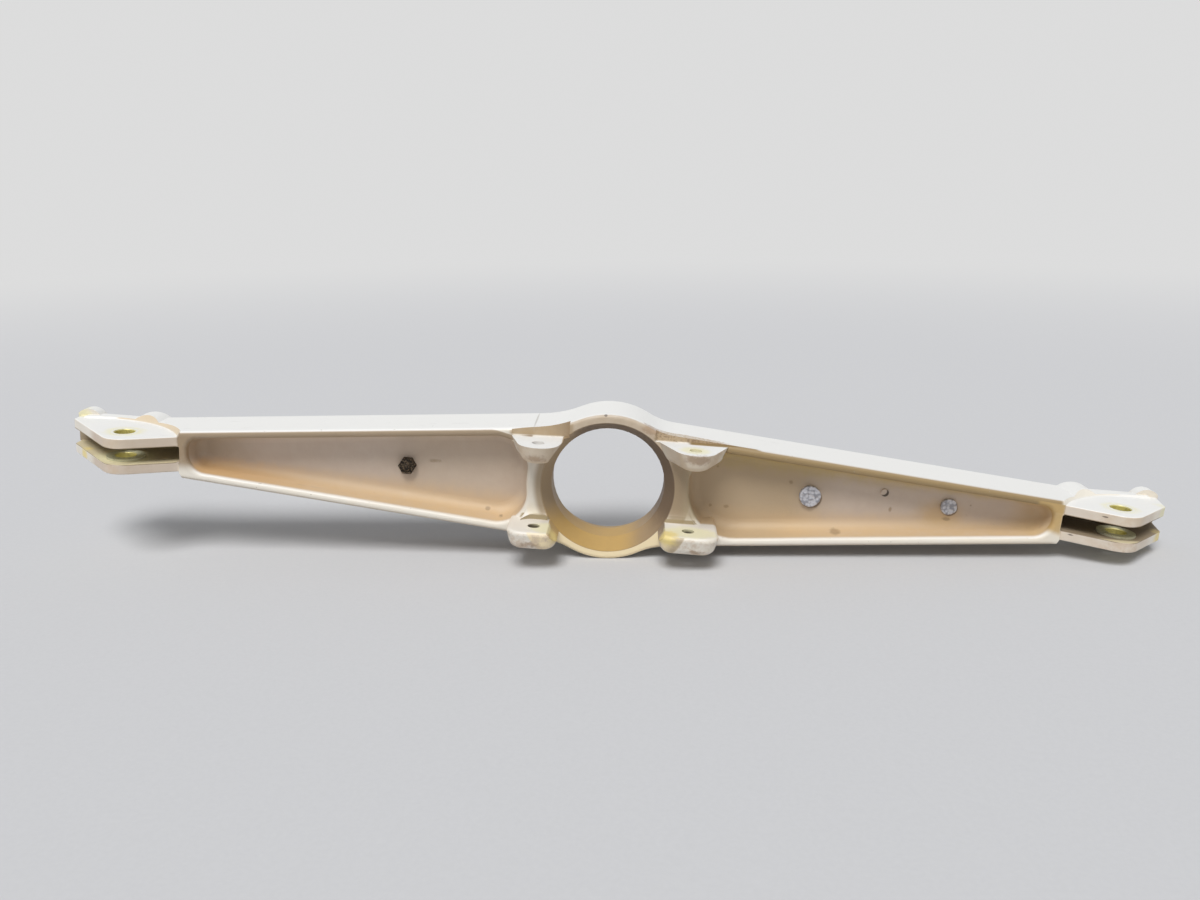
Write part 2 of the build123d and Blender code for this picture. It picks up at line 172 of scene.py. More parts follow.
class Surface:
    """A material whose patterns are worked out in millimetres of the brace's own frame."""

    def __init__(self, name, roughness):
        self.material = bpy.data.materials.new(name)
        self.material.use_nodes = True
        self.tree = self.material.node_tree
        self.shader = self.tree.nodes["Principled BSDF"]
        self.shader.inputs["Roughness"].default_value = roughness
        frame_place = self.node("ShaderNodeTexCoord", {}, {}, "Object")
        self.place = self.vector("MULTIPLY", frame_place, (mm_per_m, mm_per_m, mm_per_m))
        self.x, self.y, self.z = self.parts_of(self.place)

    def node(self, kind, settings, inputs, output=0):
        made = self.tree.nodes.new(kind)
        for setting, choice in settings.items():
            setattr(made, setting, choice)
        for name, given in inputs.items():
            if isinstance(given, Value):
                self.tree.links.new(given.socket, made.inputs[name])
            else:
                made.inputs[name].default_value = given
        return Value(self, made.outputs[output])

    def vector(self, operation, first, second):
        return self.node("ShaderNodeVectorMath", {"operation": operation}, {0: first, 1: second})

    def length(self, vector):
        return self.node("ShaderNodeVectorMath", {"operation": "LENGTH"}, {0: vector}, "Value")

    def parts_of(self, vector):
        return [self.node("ShaderNodeSeparateXYZ", {}, {0: vector}, axis) for axis in "XYZ"]

    def noise(self, per_mm, detail=3.0, rough=0.55, stretch=(1, 1, 1), warp=0.0):
        where = self.place
        if stretch != (1, 1, 1):
            where = self.vector("MULTIPLY", where, stretch)
        return self.node("ShaderNodeTexNoise", {}, {"Vector": where, "Scale": per_mm, "Detail": detail,
                                                    "Roughness": rough, "Distortion": warp})

    def facing(self):
        return self.parts_of(self.node("ShaderNodeNewGeometry", {}, {}, "Normal"))

    def mix(self, colour, other, amount):
        colour = colour if isinstance(colour, Value) else (*colour, 1)
        other = other if isinstance(other, Value) else (*other, 1)
        return self.node("ShaderNodeMix", {"data_type": "RGBA"}, {0: amount, 6: colour, 7: other}, 2)

    def spot(self, centre, size, ragged=0.0, edge=0.25):
        """1 within an ellipsoid of this centre and these half sizes, all in millimetres."""
        away = self.vector("SUBTRACT", self.place, centre)
        reach = self.length(self.vector("DIVIDE", away, size))
        if ragged:
            reach = reach + (self.ragged - 0.5) * (2 * ragged)
        return reach.fade(1 + edge, 1 - edge)

    def feed(self, name, value):
        self.tree.links.new(value.socket, self.shader.inputs[name])

    def bump(self, height, depth_mm, strength=1.0):
        normal = self.node("ShaderNodeBump", {}, {"Height": height, "Strength": strength,
                                                  "Distance": depth_mm / mm_per_m}, "Normal")
        self.feed("Normal", normal)


def coat(surface, names):
    """Give the solids of these names this finish, and no other."""
    for name in names:
        nodes[name].data.materials.clear()
        nodes[name].data.materials.append(surface.material)


print("shader arithmetic is ready")

# %% [markdown]
# The casting is painted cream. Years of oil and dust have stained it: the webs are greyed, tan has run
# down and settled along the lower edge of each pocket, and the milled walls that were never polished are
# brown. The zones below follow the casting's own sizes, so each stain sits in its own corner of the form.

# %% Zones of the casting
# Places in millimetres from the bore's axis. The flanges' inner height falls off along both arms.
left_arm_end, right_arm_end = -240.5, 250
pocket_start, pocket_end = 43, 247
inner_height_at_bore, inner_height_slope = 30.6, 0.09
left_fork_x, right_fork_x, fork_hole_y = -271.3, 282.2, -14.2
left_lug_x, right_lug_x, lug_hole_y = -38.6, 45.6, -31.1

paint = Surface("cream_paint", 0.42)
paint.ragged = paint.noise(0.35, detail=4.0, rough=0.65)
clouds = paint.noise(0.028, detail=3.0)
mottle = paint.noise(0.16, detail=5.0, rough=0.62)
grain = paint.noise(0.9, detail=4.0, rough=0.7)
facing_y, facing_z = paint.facing()[1:]
across = abs(paint.x)
depth = abs(paint.y)

flange_inner_height = inner_height_at_bore - across * inner_height_slope
level = paint.z / flange_inner_height
in_arm = across.between(pocket_start, pocket_end, 2.0)
pocket = in_arm * abs(level).fade(1.12, 1.0) * depth.fade(17.8, 14.5)
lean = (mottle - 0.5) * 0.5
low_in_pocket = pocket * (level + lean).fade(-0.25, -0.95)
high_in_pocket = pocket * (level - lean).fade(0.35, 0.95)
left_side = paint.x.fade(-30, -45)
right_side = paint.x.fade(30, 45)
print("zones: pockets, their lower and upper edges, both sides")

# %% [markdown]
# The paint itself comes first: cream, with painted light that makes it whiter where it faces up in the
# upper half, and a little yellower in slow clouds. Each stain is then one more mix over it, in the order it
# was laid down, and so is each patch of painted shade.
# Painted shade also darkens the lower part of the upper flange's front edge, and the rims that close
# the pockets at their far ends, carrying the pocket's shade out onto them.

# %% Paint, its stains, and painted light and shade
cream = (0.81, 0.755, 0.66)
aged_cream = (0.82, 0.735, 0.60)
painted_light_white = (0.875, 0.865, 0.835)
underside_dirt_and_shade = (0.50, 0.41, 0.31)
lower_front_tan = (0.55, 0.46, 0.35)
web_grey = (0.60, 0.495, 0.41)
web_brown = (0.49, 0.37, 0.235)
tan = (0.65, 0.465, 0.265)
olive_brown = (0.50, 0.375, 0.165)
end_brown = (0.38, 0.29, 0.18)
orange_brown = (0.62, 0.38, 0.17)
right_end_tan = (0.66, 0.48, 0.25)
edge_dirt_and_shade = (0.35, 0.255, 0.16)
edge_olive_shade = (0.31, 0.205, 0.08)
end_olive_shade = (0.54, 0.365, 0.15)
ear_tan = (0.62, 0.50, 0.39)

above_pocket = paint.z - flange_inner_height
below_pocket = paint.z + flange_inner_height
on_front = paint.y.between(-19.2, -15.6, 0.5)
# Painted shade: how far the pocket's shade is carried up the upper flange's front edge, on each side.
edge_shade_reach = paint.x.fade(-50, -66) * 3.6 + right_side * 4.25 + right_side * paint.x.fade(84, 68) * 2.5
along_rim = (paint.x.between(left_arm_end, -pocket_start, 0.8)
             + paint.x.between(pocket_start, right_arm_end, 1.5))
on_upper_rim = along_rim * on_front * above_pocket.fade(-3, -2)
inner_edge_shade = on_upper_rim * (above_pocket - edge_shade_reach).fade(0.4, -0.4)
end_face = paint.y.fade(-14.4, -15.4)
left_end_rim_shade = (end_face * paint.x.between(-240.3, -229.5, 1.0)
                * paint.z.fade(-10, -3) * above_pocket.fade(2, 1))
right_end_rim_shade = (end_face * paint.x.between(236, 250.5, 1.5) * above_pocket.fade(3, 2)
                 * (paint.z + (paint.x - 236) * 0.25).fade(-5, -1))

colour = paint.mix(cream, aged_cream, clouds.fade(0.45, 0.65) * 0.7)
# Painted light: faces that turn up, in the upper half, are mixed whiter.
colour = paint.mix(colour, painted_light_white, facing_z.fade(0.35, 0.85) * paint.z.fade(-30, 0))
# Dirt with painted shade: faces that turn down, below each pocket's lower edge, are mixed brown.
shaded_underside = in_arm * facing_z.fade(-0.25, -0.8) * below_pocket.fade(-1, -3)
colour = paint.mix(colour, underside_dirt_and_shade, shaded_underside * 0.7)
lower_front = in_arm * below_pocket.fade(-1.5, -4.8) * paint.z.fade(0, -5)
colour = paint.mix(colour, lower_front_tan, lower_front * 0.4)
colour = paint.mix(colour, web_grey, pocket * (0.74 + mottle * 0.4))
near_ring = pocket * (paint.x.between(20, 118, 18) + paint.x.between(-120, -20, 15) * 0.3)
colour = paint.mix(colour, web_brown, near_ring * 0.95)
colour = paint.mix(colour, tan, low_in_pocket * (0.55 + mottle * 0.6))
colour = paint.mix(colour, web_brown, low_in_pocket * right_side * paint.x.fade(110, 85) * 0.6)
colour = paint.mix(colour, olive_brown, high_in_pocket * right_side * (0.8 + mottle * 0.4))
colour = paint.mix(colour, olive_brown, high_in_pocket * left_side * level.fade(0.8, 1.05) * 0.6)
left_end = pocket * paint.x.fade(-190, -232) * (level + lean).fade(-0.9, 0.1)
colour = paint.mix(colour, end_brown, left_end * 0.6)
colour = paint.mix(colour, orange_brown, low_in_pocket * paint.x.fade(-150, -226) * 0.75)
colour = paint.mix(colour, right_end_tan, pocket * paint.x.fade(222, 243) * 0.6)
# Painted shade along the upper flange's front edge and on the pockets' end rims.
colour = paint.mix(colour, edge_dirt_and_shade, inner_edge_shade * left_side * 0.95)
colour = paint.mix(colour, edge_olive_shade, inner_edge_shade * right_side * 0.95)
colour = paint.mix(colour, edge_dirt_and_shade, left_end_rim_shade * (0.8 + mottle * 0.4))
colour = paint.mix(colour, end_olive_shade, right_end_rim_shade * (0.8 + mottle * 0.3))
on_ears = paint.x.fade(-240.4, -241.2) + paint.x.fade(250.5, 251.5)
ear_front = (on_ears * paint.y.fade(-12, -20)
             * facing_y.fade(-0.1, -0.4) * abs(facing_z).fade(0.6, 0.3))
colour = paint.mix(colour, ear_tan, ear_front * (0.4 + left_side * 0.3 + mottle * 0.3))
print("paint and stains mixed")

# %% [markdown]
# The bore has lost its clean paint to the strut that it held. Its sides and top are dark brown, partly
# grime and partly painted shade, and yellow primer with tan dirt shows along the bottom. The ring's front
# face has painted shade round the top, brownish, and painted light at the bottom, cream to yellow, where
# the light falls on it. Beside the bore, between the lugs, painted shade makes it browner.

# %% Bore and ring
bore_grime_and_shade = (0.17, 0.115, 0.07)
bore_tan = (0.52, 0.335, 0.115)
bore_left_brown = (0.46, 0.34, 0.205)
bore_right_brown = (0.37, 0.265, 0.16)
bore_edge_shade_brown = (0.37, 0.27, 0.165)
ring_shade_tan = (0.50, 0.39, 0.27)
ring_lit_yellow = (0.92, 0.76, 0.47)
ring_right_shade_brown = (0.40, 0.31, 0.205)
column_shade_dark = (0.36, 0.265, 0.165)
column_shade_light = (0.50, 0.415, 0.27)

from_axis = paint.length(paint.vector("MULTIPLY", paint.place, (1, 0, 1)))
in_bore = from_axis.fade(37.4, 36.9)
left_of_bore = paint.x.fade(-12, -28)
at_bottom = (paint.z + lean * 12).fade(-10, -26)
ring_front = from_axis.between(36.8, 46.5, 0.6) * paint.y.fade(-14.5, -17.5) * facing_y.fade(-0.25, -0.7)
# Painted shade round the top of the ring's front face, and painted light, cream to yellow, at its bottom.
upper_ring_shade = ring_front * paint.z.fade(-14, 0) * (0.6 + mottle * 0.5)
colour = paint.mix(colour, ring_shade_tan, upper_ring_shade * (1 - paint.x.fade(-30, -38) * 0.7))
colour = paint.mix(colour, ring_lit_yellow, ring_front * at_bottom * 0.9)
# Painted shade: the ring's front right of the bore, the column between the right lugs and the rim left of
# the bore are mixed brown.
right_of_ring_shade = ring_front * right_side.or_more(paint.x.fade(32, 38))
colour = paint.mix(colour, ring_right_shade_brown, right_of_ring_shade * 0.8)
bore_shade = (from_axis.fade(42.5, 38.8) * paint.x.fade(-22, -30)
              * paint.z.between(-19, 17, 3) * paint.y.fade(-14, -17))
right_column_shade = (paint.x.between(34, 62, 1.5) * paint.z.between(-14.5, 21, 2)
                * paint.y.between(-19.5, -13, 0.6))
column_shade_brown = paint.mix(column_shade_dark, column_shade_light, paint.x.fade(40, 50))
colour = paint.mix(colour, column_shade_brown, right_column_shade * 0.85)
colour = paint.mix(colour, bore_edge_shade_brown, bore_shade * 0.85)
# Grime with painted shade: the inside of the bore is mixed dark brown.
colour = paint.mix(colour, bore_grime_and_shade, in_bore * (0.85 + mottle * 0.4))
colour = paint.mix(colour, bore_left_brown, in_bore * left_of_bore * 0.8)
colour = paint.mix(colour, bore_tan, in_bore * at_bottom * paint.x.fade(30, 14) * (0.8 + mottle * 0.4))
colour = paint.mix(colour, bore_right_brown, in_bore * at_bottom * paint.x.fade(8, 24) * 0.8)
print("bore and ring mixed")

# %% [markdown]
# The steps behind the upper lugs, the sweeps round the forks' ears and the fronts of the lugs are rougher
# and hold brown dirt. The upper lugs' undersides and the back walls of the lower lugs' spotfaces are
# darkened further with painted shade. Inside the fork slots nothing was ever cleaned, and the paint is
# dark olive, but for a paler floor where the fittings rubbed.

# %% Milled walls, lugs and slots
step_tan = (0.48, 0.355, 0.215)
step_speckle = (0.26, 0.17, 0.10)
sweep_cream = (0.85, 0.79, 0.68)
sweep_tan = (0.70, 0.57, 0.40)
lug_dirt_and_shade_tan = (0.62, 0.49, 0.36)
upper_lug_tan = (0.68, 0.57, 0.43)
spotface_shade_brown = (0.38, 0.295, 0.165)
slot_brown = (0.27, 0.20, 0.12)
left_slot_brown = (0.38, 0.30, 0.19)
slot_floor_tan = (0.78, 0.68, 0.44)

left_step = paint.x.between(-55.5, -21, 1.0) * paint.z.fade(26.6, 27.2) * paint.y.between(-18.7, -13.5, 0.5)
right_step = paint.x.between(23.5, 77, 1.0) * paint.z.fade(28.8, 29.4) * paint.y.between(-18.7, -15, 0.5)
upright = facing_z.fade(0.6, 0.3)
step_wall = (left_step + right_step) * upright
wedge = paint.y + 9.5 + abs(paint.x - 40) * 0.11
above_step = (paint.x.between(27, 84, 3.0) * wedge.fade(0.8, -0.8)
              * paint.z.fade(29, 30) * facing_z.fade(0.3, 0.6))
colour = paint.mix(colour, step_tan, above_step * (0.45 + grain.fade(0.42, 0.6) * 0.5))
colour = paint.mix(colour, step_tan, step_wall * (0.75 + mottle * 0.4))
colour = paint.mix(colour, edge_dirt_and_shade, left_step * upright * paint.x.fade(-40, -22) * 0.6)
colour = paint.mix(colour, step_speckle, right_step * upright * grain.fade(0.50, 0.60) * 0.8)

left_sweep = paint.x.between(-287, -238, 1.5)
right_sweep = paint.x.between(249, 292, 1.5)
sweep_wall = (left_sweep + right_sweep) * paint.z.fade(10.2, 10.9) * facing_y.fade(-0.12, -0.4)
colour = paint.mix(colour, sweep_cream, sweep_wall * right_side * 0.9)
left_sweep_dirt = sweep_wall * left_side * paint.y.fade(-17.5, -14) * (0.8 + mottle * 0.3)
colour = paint.mix(colour, sweep_tan, left_sweep_dirt)

lug_front = paint.y.fade(-21, -30) * facing_z.fade(0.75, 0.35)
upper_lug = lug_front * paint.z.fade(-5, 5)
colour = paint.mix(colour, lug_dirt_and_shade_tan, lug_front * (mottle + grain * 0.3).fade(0.55, 0.8) * 0.8)
# Painted shade: the upper lugs' downward faces are mixed tan.
colour = paint.mix(colour, lug_dirt_and_shade_tan, upper_lug * facing_z.fade(-0.1, -0.6) * 0.85)
colour = paint.mix(colour, upper_lug_tan, upper_lug * 0.45)
# Painted shade: the back walls of the lower lugs' spotfaces are mixed dark olive brown.
spotface_shade_wall = paint.y.between(-24, -17.6, 0.8) * facing_z.fade(0.4, 0.1) * facing_y.fade(-0.3, -0.6)
left_wall = paint.x.between(-47.5, -27, 0.8) * paint.z.between(-20.9, -18.0, 0.4)
right_wall = paint.x.between(32, 60, 0.8) * paint.z.between(-17.2, -14.8, 0.4)
colour = paint.mix(colour, spotface_shade_brown, spotface_shade_wall * (left_wall + right_wall) * (0.7 + mottle * 0.4))

beyond_arm = paint.x.fade(left_arm_end, -242) + paint.x.fade(250.2, 251.4)
in_slot = abs(paint.z).fade(5.1, 4.8) * paint.y.fade(12.9, 12.4) * beyond_arm
slot_floor = in_slot * facing_z.fade(0.5, 0.8)
behind_nose = paint.y.fade(-31, -29.5)
colour = paint.mix(colour, slot_brown, in_slot * behind_nose * 0.95)
colour = paint.mix(colour, left_slot_brown, in_slot * left_side * behind_nose * 0.5)
colour = paint.mix(colour, slot_floor_tan, slot_floor * left_side * (0.9 - mottle * 0.3))
colour = paint.mix(colour, slot_floor_tan, slot_floor * right_side * paint.y.fade(-24, -28) * 0.8)
print("walls, lugs and slots mixed")

# %% [markdown]
# Where the paint has worn through, primer shows: pale round most bolt holes, and yellow on corners that
# were knocked. The upper lugs' holes are painted light inside: white on the left, which hides the hole's
# shade, and on the right pale primer yellow, lightened further as painted light. The lower lugs' holes
# are painted dark, as painted shade. Small dark marks are chips and specks of old oil, and the crescents
# below the rivet heads are painted shadow. Each is a soft-edged spot, most with a ragged outline, placed
# where the photograph shows it.

# %% Primer and marks
primer = (0.84, 0.67, 0.24)
pale_primer = (0.86, 0.81, 0.52)
pale_primer_and_light = (0.90, 0.86, 0.66)
hole_shade = (0.14, 0.115, 0.075)
lug_brown = (0.38, 0.255, 0.16)
rust = (0.60, 0.40, 0.17)
chip_brown = (0.31, 0.21, 0.115)
rivet_shadow_brown = (0.20, 0.14, 0.09)
dark_mark = (0.12, 0.085, 0.06)
pin_black = (0.07, 0.05, 0.035)

# Painted light inside the upper lugs' holes, and painted shade inside the lower lugs' holes.
left_hole_painted_light = [((left_lug_x, lug_hole_y, 20.0), (4.3, 4.3, 12))]
right_hole_primer_and_light = [((right_lug_x, lug_hole_y, 22.0), (4.3, 4.3, 12))]
shaded_holes = [
    ((left_lug_x, lug_hole_y, -27.5), (4.6, 4.6, 9.5)),
    ((right_lug_x, lug_hole_y, -23.8), (4.6, 4.6, 9.5)),
]
pale_spots = [
    ((left_fork_x, fork_hole_y, 10.15), (10.0, 9.0, 1.5)),
    ((right_fork_x, fork_hole_y, 10.15), (9.0, 8.5, 1.5)),
    ((left_fork_x, fork_hole_y, -10.15), (10.0, 9.0, 1.5)),
    ((right_fork_x, fork_hole_y, -10.15), (9.5, 9.0, 1.5)),
    ((45.2, -31.0, 28.6), (7.6, 6.8, 1.2)), ((-31.5, -33.5, -20.7), (9.0, 8.0, 1.6)),
    ((46.5, -33.0, -17.0), (15.0, 8.5, 1.6)), ((left_fork_x, fork_hole_y, -4.6), (15.0, 13.0, 1.2)),
    ((-310.0, 14.0, 11.0), (6.0, 5.5, 4.5)), ((309.5, -4.0, 6.8), (6.5, 6.5, 3.4)),
]
primer_spots = [
    ((-298.0, -4.5, -7.6), (4.3, 4.3, 3.6)), ((309.0, -5.0, -8.0), (5.5, 5.5, 3.4)),
    ((34.0, -39.0, -18.6), (6.0, 6.5, 4.0)), ((-26.0, -35.0, -22.0), (3.6, 8.0, 5.0)),
]
dark_spots = [
    ((256.2, -18.0, -5.9), (1.9, 2.0, 0.45)), ((268.9, -26.5, 8.0), (1.5, 2.0, 0.4)),
    ((306.0, -7.5, 0.2), (3.0, 3.0, 3.2)), ((-59.0, -9.0, -25.4), (2.2, 3.0, 1.5)),
    ((-3.7, -18.0, 41.0), (1.0, 1.6, 0.7)),
]
brown_spots = [
    ((103.0, -3.0, 7.1), (1.1, 2.0, 1.1)), ((68.1, -3.0, -10.2), (1.4, 2.0, 0.9)),
    ((59.0, -3.0, -10.2), (0.8, 2.0, 0.9)), ((129.6, -9.0, -18.4), (2.8, 4.0, 1.9)),
    ((-67.4, -5.0, -21.6), (1.6, 2.0, 1.0)), ((-99.0, -4.0, 3.5), (4.0, 2.0, 1.2)),
    ((160.5, -3.0, -4.5), (0.9, 2.0, 1.4)), ((192.6, -3.0, -7.6), (2.2, 2.0, 0.9)),
    ((205.0, -4.0, 1.5), (0.7, 2.0, 0.7)), ((61.0, -4.0, 13.0), (0.8, 2.0, 0.8)),
]
# Painted shadow: a dark crescent on the web below and right of each rivet head.
rivet_shade = [
    ((115.5, -2.5, -1.5), (5.9, 1.4, 5.9)), ((193.5, -2.5, -1.2), (4.6, 1.4, 4.6)),
]
lug_dirt = [
    ((23.0, -17.5, 35.3), (7.0, 4.5, 2.9)), ((48.0, -41.5, 25.8), (8.0, 3.5, 2.4)),
    ((-39.5, -41.8, 19.5), (7.0, 4.0, 2.4)), ((50.0, -43.0, -25.8), (6.5, 3.0, 1.8)),
    ((-40.0, -43.0, -28.8), (5.0, 2.5, 2.2)),
]


def paint_spots(colour, spots, stain, strength, ragged, edge):
    """Mix one stain over the colour at each of these spots."""
    for centre, size in spots:
        colour = paint.mix(colour, stain, paint.spot(centre, size, ragged, edge) * strength)
    return colour


# Painted light and painted shade in the lug holes.
colour = paint_spots(colour, left_hole_painted_light, painted_light_white, 0.9, 0.0, 0.1)
colour = paint_spots(colour, right_hole_primer_and_light, pale_primer_and_light, 0.95, 0.0, 0.1)
colour = paint_spots(colour, shaded_holes, hole_shade, 0.95, 0.0, 0.06)
colour = paint_spots(colour, pale_spots, pale_primer, 0.75, 0.35, 0.35)
colour = paint_spots(colour, lug_dirt, lug_brown, 0.75, 1.2, 0.5)
colour = paint_spots(colour, primer_spots, primer, 0.85, 0.5, 0.45)
rust_halo = paint.spot((188.5, -2.5, -5.5), (11.0, 3.0, 7.5), 0.3, 0.7)
colour = paint.mix(colour, rust, rust_halo * pocket * 0.6)
colour = paint_spots(colour, brown_spots, chip_brown, 0.65, 0.6, 0.4)
# Painted shadow under the rivet heads.
colour = paint_spots(colour, rivet_shade, rivet_shadow_brown, 0.85, 0.1, 0.08)
colour = paint_spots(colour, dark_spots, dark_mark, 0.85, 0.5, 0.25)
pin_shade = paint.spot((156.3, -3.0, 4.9), (2.15, 3.0, 2.15), 0.0, 0.12)
pin_face = paint.spot((154.9, -3.5, 6.1), (2.1, 3.0, 2.1), 0.0, 0.12)
colour = paint.mix(colour, pin_black, pin_shade * (1 - pin_face) * 0.95)
marks = left_hole_painted_light + right_hole_primer_and_light + shaded_holes + pale_spots
marks += primer_spots + dark_spots + brown_spots
print("primer and marks:", len(marks))

# %% [markdown]
# Three kinds of fine wear go over everything: chips along the proud rims, thin scratches along the tops
# of the flanges, and a faint dirt in the grain of the casting. They are kept small and few, because the
# brace is used but was never abused.

# %% Chips, scratches and grain
chip_grey = (0.42, 0.36, 0.28)
scratch_grey = (0.34, 0.31, 0.27)
scuff_grey = (0.50, 0.47, 0.42)
speck_brown = (0.30, 0.24, 0.18)
grain_tan = (0.52, 0.44, 0.34)

on_rim = depth.between(15.8, 18.6, 0.3) * pocket.fade(0.6, 0.2) * in_arm
rim_chips = on_rim * paint.noise(0.55, detail=2.0).fade(0.70, 0.74)
colour = paint.mix(colour, chip_grey, rim_chips * 0.7)
scratch_lines = paint.noise(0.10, detail=2.0, stretch=(0.35, 9.0, 1.0), warp=0.4).fade(0.70, 0.73)
scratch_zone = facing_z.fade(0.7, 0.9) * clouds.fade(0.50, 0.60)
cross_scratches = paint.noise(0.08, detail=2.0, stretch=(14.0, 0.4, 1.0), warp=0.5).fade(0.73, 0.76)
scratches = scratch_zone * (scratch_lines + cross_scratches * 0.8)
colour = paint.mix(colour, scratch_grey, scratches * 0.5)
scuff = paint.spot((-42.5, 0.0, 32.0), (0.5, 16.0, 4.0), 0.5, 0.5)
colour = paint.mix(colour, scuff_grey, scuff * 0.7)
specks = paint.noise(1.3, detail=1.0).fade(0.77, 0.80) * mottle.fade(0.45, 0.7)
colour = paint.mix(colour, speck_brown, specks * (0.35 + pocket * 0.4))
colour = paint.mix(colour, grain_tan, grain.fade(0.55, 0.8) * 0.10)
paint.feed("Base Color", colour)
print("chips, scratches and grain mixed")

# %% [markdown]
# Paint over a sand casting is not flat: it has a fine pebble and slow waves, and the stained places are
# duller. The height of both goes to one Bump node, and the dullness to the roughness.

# %% Feel of the paint
pebble = paint.noise(0.75, detail=3.0, rough=0.6)
waves = paint.noise(0.07, detail=2.0)
height = pebble * 0.35 + waves * 1.4 - rim_chips * 0.5 - scratches * 0.4
paint.bump(height, 0.22, 0.8)
dull = 0.36 + mottle * 0.14 + pocket * 0.12 + in_bore * 0.08 + in_slot * 0.2
paint.feed("Roughness", dull)
coat(paint, ("brace_casting", "web_pin"))
print("paint has", len(paint.tree.nodes), "nodes")

# %% [markdown]
# The bushings are steel with an olive plating. Their flanges have been rubbed pale by the fittings that
# turned on them, their bores are yellower, with old grease, and their outer ends were painted over with
# the ears, so that only the bore's rim shows there.

# %% Bushings
plating = Surface("olive_plating", 0.38)
rub = plating.noise(0.5, detail=4.0, rough=0.65)
rings = plating.noise(0.25, detail=2.0, stretch=(1, 1, 6))
flat = abs(plating.facing()[2]).fade(0.6, 0.9)
bore_olive = (0.66, 0.58, 0.19)
flange_olive = (0.66, 0.64, 0.45)
painted_end = (0.86, 0.845, 0.76)
grease_brown = (0.20, 0.165, 0.08)
bore_zone = (7.5, 7.5, 60)
left_bore = plating.spot((left_fork_x, fork_hole_y, 0), bore_zone)
right_bore = plating.spot((right_fork_x, fork_hole_y, 0), bore_zone)
near_bore = left_bore.or_more(right_bore)
plate_colour = plating.mix(flange_olive, bore_olive, near_bore * (1 - flat * (0.7 + rub * 0.5)))
plate_colour = plating.mix(plate_colour, grease_brown, rub.fade(0.52, 0.72) * 0.55)
outer_end = flat * abs(plating.z).fade(9.9, 10.1)
plate_colour = plating.mix(plate_colour, painted_end, outer_end * 0.95)
plating.feed("Base Color", plate_colour)
plating.feed("Metallic", (1 - outer_end) * 0.25)
plating.feed("Roughness", 0.32 + rub * 0.25)
plating.bump(rub * 0.5 + rings * 0.5, 0.06, 0.6)
bushing_names = [name for name in nodes if name.endswith("_bushing")]
coat(plating, bushing_names)
print("bushings:", bushing_names)

# %% [markdown]
# The bolt and nut are plated steel under oily soot, almost black in the shade of the pocket, with browner
# patches where the dirt is thin. Low values for metal and shine keep them as dark as in the photograph.

# %% Bolt and nut
hardware = Surface("dirty_steel", 0.45)
soot = hardware.noise(1.1, detail=4.0, rough=0.65)
oily_brown = (0.17, 0.125, 0.08)
soot_black = (0.012, 0.008, 0.005)
steel_colour = hardware.mix(oily_brown, soot_black, soot.fade(0.36, 0.54))
hardware.feed("Base Color", steel_colour)
hardware.shader.inputs["Metallic"].default_value = 0.2
hardware.shader.inputs["Specular IOR Level"].default_value = 0.25
hardware.feed("Roughness", 0.38 + soot * 0.35)
hardware.bump(soot, 0.09, 0.7)
coat(hardware, ("web_bolt", "web_nut"))
print("hardware finished")

# %% [markdown]
# The two rivets are bare aluminium, set by hand: their heads are dull grey and covered in small dents
# where the bar slipped. Smooth cells give the dents, and noise mottles the grey.

# %% Rivets
bare = Surface("bare_aluminium", 0.5)
dents = bare.node("ShaderNodeTexVoronoi", {"feature": "SMOOTH_F1"},
                  {"Vector": bare.place, "Scale": 0.62, "Smoothness": 0.6}, "Distance")
tarnish = bare.noise(0.6, detail=4.0, rough=0.6)
bright_metal = (0.66, 0.66, 0.70)
dull_metal = (0.27, 0.27, 0.30)
metal_colour = bare.mix(bright_metal, dull_metal, dents.fade(0.35, 0.72) * 0.75 + tarnish * 0.2)
bare.feed("Base Color", metal_colour)
bare.shader.inputs["Metallic"].default_value = 0.4
bare.feed("Roughness", 0.42 + tarnish * 0.2)
bare.bump(dents * 1.2 + tarnish * 0.4, 0.30, 0.9)
coat(bare, ("large_web_rivet", "small_web_rivet"))
print("rivets finished")

# %% [markdown]
# The bolt's solid ends in a plain shank. The real one shows a few turns of thread past the nut. A circle
# is extruded along the bolt, and each new ring is made wider or narrower in turn, which draws the
# thread's profile. At this size its slow slope can't be told from rings.

# %% Thread on the bolt's end
thread_root = 2.14
thread_crest = 2.42
thread_pitch = 0.64
thread_turns = 2
thread_corners = 32
tip_narrowing = 0.8
tip_length = 0.3
bolt_x, nut_face_y = -114.3, -6.75


def to_metres(*millimetres):
    return tuple(value / mm_per_m for value in millimetres)


bolt_end = to_metres(bolt_x, nut_face_y, 0)
bpy.ops.object.select_all(action="DESELECT")
bpy.ops.mesh.primitive_circle_add(vertices=thread_corners, radius=thread_root / mm_per_m,
                                  fill_type="NGON", location=bolt_end, rotation=(pi / 2, 0, 0))
thread = bpy.context.object
thread.name = "bolt_thread"
bpy.ops.object.transform_apply(location=True, rotation=True, scale=True)
bpy.ops.object.mode_set(mode="EDIT")
bpy.ops.mesh.select_all(action="SELECT")
growth = thread_crest / thread_root
one_turn = [(growth, thread_pitch / 2), (1 / growth, thread_pitch / 2)]
for widen, step in one_turn * thread_turns + [(tip_narrowing, tip_length)]:
    bpy.ops.mesh.extrude_region_move(TRANSFORM_OT_translate={"value": to_metres(0, -step, 0)})
    bpy.ops.transform.resize(value=(widen, 1, widen), center_override=bolt_end)
bpy.ops.mesh.select_all(action="SELECT")
bpy.ops.mesh.normals_make_consistent(inside=False)
bpy.ops.object.mode_set(mode="OBJECT")
thread.data.materials.append(hardware.material)
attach(thread, "root")
thread_tip = min(vertex.co.y for vertex in thread.data.vertices)
